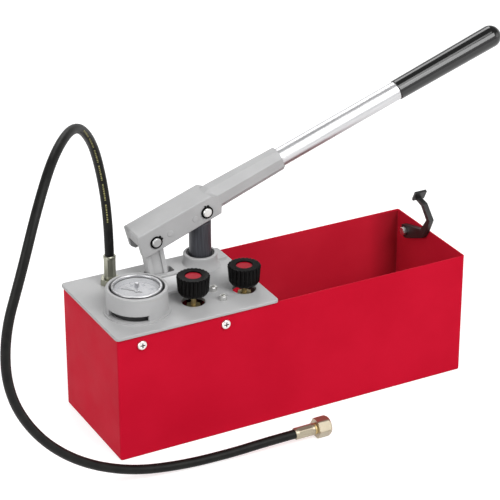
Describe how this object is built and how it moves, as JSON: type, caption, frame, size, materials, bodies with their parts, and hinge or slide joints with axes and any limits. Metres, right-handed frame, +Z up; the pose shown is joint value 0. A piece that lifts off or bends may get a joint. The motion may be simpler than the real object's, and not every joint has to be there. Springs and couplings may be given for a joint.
{
  "type": "hydrostatic test pump",
  "caption": "Hand pump for pressure tests: open water tank, cast top plate with dial gauge, valve knobs and piston pump under a linked lever, and a high-pressure hose ending in a union nut.",
  "frame": {"origin": "middle of the tank's underside", "axes": "+Z up, +X along the tank from the gauge end to the lever hook, -Y the front face with the hose's free end"},
  "size_m": [0.8039, 0.2454, 0.4365],
  "materials": {
    "tank_paint": "red powder coat, satin",
    "cast_grey": "sand-cast aluminium, painted light grey, satin",
    "screw_steel": "zinc plated",
    "bright_steel": "turned steel",
    "piston_steel": "dark burnished steel",
    "tube_aluminium": "drawn aluminium tube, polished",
    "grip_plastic": "black moulded plastic, glossy",
    "knob_plastic": "black moulded plastic, semi-matt",
    "cap_plastic": "red moulded plastic",
    "brass": "machined brass",
    "black_steel": "blackened steel",
    "nickel": "nickel plated",
    "hose_rubber": "black hose cover with a plain lay line",
    "seal_rubber": "black seal rubber",
    "gauge_glass": "clear",
    "dial_white": "white enamel with black scale",
    "needle_black": "black enamel"
  },
  "bodies": {
    "frame": {"tank": "tank_paint", "top_plate": "cast_grey", "plate_screws": "screw_steel", "pump_cylinder": "bright_steel", "foot_valve": "brass", "suction_strainer": "knob_plastic", "rod_seal": "seal_rubber", "rod_wiper": "seal_rubber", "valve_block": "brass", "block_screws": "screw_steel", "gland_nuts": "brass", "pressure_pipe": "bright_steel", "delivery_pipe": "bright_steel", "gauge_pipe": "bright_steel", "drain_tube": "bright_steel", "pipe_nuts": "brass", "gauge_case": "bright_steel", "gauge_bezel": "bright_steel", "gauge_glass": "gauge_glass", "gauge_dial": "dial_white", "gauge_stem": "brass", "bourdon_tube": "bright_steel", "gauge_movement": "brass", "lower_link_pin": "bright_steel", "hose_union": "nickel", "union_locknut": "screw_steel", "hose_ferrule": "nickel", "hose": "hose_rubber", "end_ferrule": "nickel", "hose_tail": "brass", "nut_gasket": "seal_rubber", "hook_screw": "screw_steel", "hook_nut": "screw_steel"},
    "piston": {"piston": "piston_steel", "piston_ring": "bright_steel"},
    "lever": {"lever_body": "cast_grey", "lever_tube": "tube_aluminium", "lever_grip": "grip_plastic", "rear_pin": "bright_steel", "front_pin": "bright_steel", "pin_circlips": "black_steel"},
    "link": {"link_arm": "cast_grey"},
    "shutoff_valve": {"shutoff_knob": "knob_plastic", "shutoff_knob_cap": "cap_plastic", "shutoff_knob_screw": "screw_steel", "shutoff_spindle": "brass"},
    "drain_valve": {"drain_knob": "knob_plastic", "drain_knob_cap": "cap_plastic", "drain_knob_screw": "screw_steel", "drain_spindle": "brass"},
    "needle": {"gauge_needle": "needle_black"},
    "pointer": {"drag_pointer": "needle_black"},
    "hook": {"lever_hook": "black_steel"},
    "hose_nut": {"union_nut": "nickel"},
    "suction_ball": {"suction_ball": "bright_steel"},
    "pressure_ball": {"pressure_ball": "bright_steel"}
  },
  "joints": [
    {"name": "piston_slide", "type": "slide", "parent": "frame", "child": "piston", "axis": [0, 0, 1], "range_m": [-0.0345, 0.023]},
    {"name": "lever_hinge", "type": "hinge", "parent": "piston", "child": "lever", "pos_m": [-0.0706, 0.05, 0.2566], "axis": [0, -1, 0], "range_deg": [-25.5, 17]},
    {"name": "link_hinge", "type": "hinge", "parent": "lever", "child": "link", "pos_m": [-0.14253, 0.05, 0.23056], "axis": [0, 1, 0], "range_deg": [-33.5, 22.5]},
    {"name": "shutoff_turn", "type": "hinge", "parent": "frame", "child": "shutoff_valve", "pos_m": [-0.1253, -0.0392, 0.1844], "axis": [0, 0, 1], "range_deg": [0, 900]},
    {"name": "drain_turn", "type": "hinge", "parent": "frame", "child": "drain_valve", "pos_m": [-0.0529, -0.038, 0.1844], "axis": [0, 0, 1], "range_deg": [0, 900]},
    {"name": "needle_turn", "type": "hinge", "parent": "frame", "child": "needle", "pos_m": [-0.197, -0.027, 0.2025], "axis": [0, 0, -1], "range_deg": [0, 270], "stiffness_Nm_per_rad": 0.0001},
    {"name": "pointer_turn", "type": "hinge", "parent": "frame", "child": "pointer", "pos_m": [-0.197, -0.027, 0.2033], "axis": [0, 0, -1], "range_deg": [-20, 250]},
    {"name": "hook_swivel", "type": "hinge", "parent": "frame", "child": "hook", "pos_m": [0.2447, 0.05, 0.152], "axis": [1, 0, 0], "range_deg": [-20, 25]},
    {"name": "nut_spin", "type": "hinge", "parent": "frame", "child": "hose_nut", "pos_m": [0.004, -0.1455, 0.013], "axis": [1, 0, 0], "continuous": true},
    {"name": "suction_lift", "type": "slide", "parent": "frame", "child": "suction_ball", "axis": [0, 0, 1], "range_m": [0, 0.002]},
    {"name": "pressure_lift", "type": "slide", "parent": "frame", "child": "pressure_ball", "axis": [0, 0, 1], "range_m": [0, 0.002]}
  ],
  "couplings": [
    {"joint": "piston_slide", "follows": "lever_hinge", "m_per_rad": 0.076},
    {"joint": "link_hinge", "follows": "lever_hinge", "ratio": 1.28}
  ]
}
